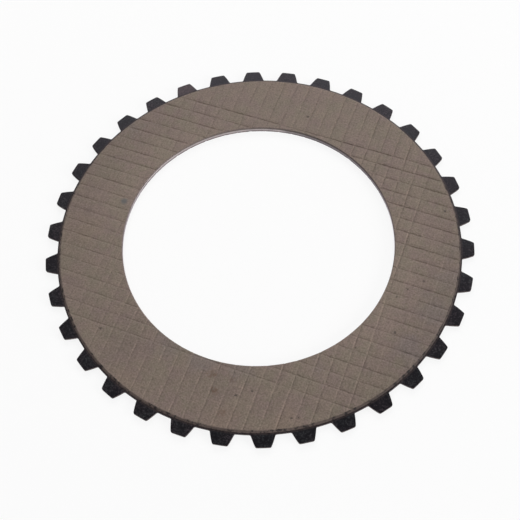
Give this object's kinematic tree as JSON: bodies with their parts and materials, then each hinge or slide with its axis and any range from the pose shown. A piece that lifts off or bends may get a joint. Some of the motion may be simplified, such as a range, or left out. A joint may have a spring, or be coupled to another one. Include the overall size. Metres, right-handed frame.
{
  "type": "clutch disc",
  "caption": "Flat steel ring with short outward spline teeth and a grooved friction facing bonded to each side, for a wet multi-disc clutch or brake.",
  "frame": {"origin": "on the disc's axis, at the underside of the lower friction facing", "axes": "+Z along the disc's axis, up out of the upper facing; +X along one family of grooves and +Y along the other"},
  "size_m": [0.1748, 0.175, 0.0028],
  "materials": {
    "plate_steel": "oil-blackened, matte",
    "friction_lining": "ground sintered metal lining, matte"
  },
  "bodies": {
    "root": {"core_plate": "plate_steel", "upper_facing": "friction_lining", "lower_facing": "friction_lining"}
  },
  "joints": []
}
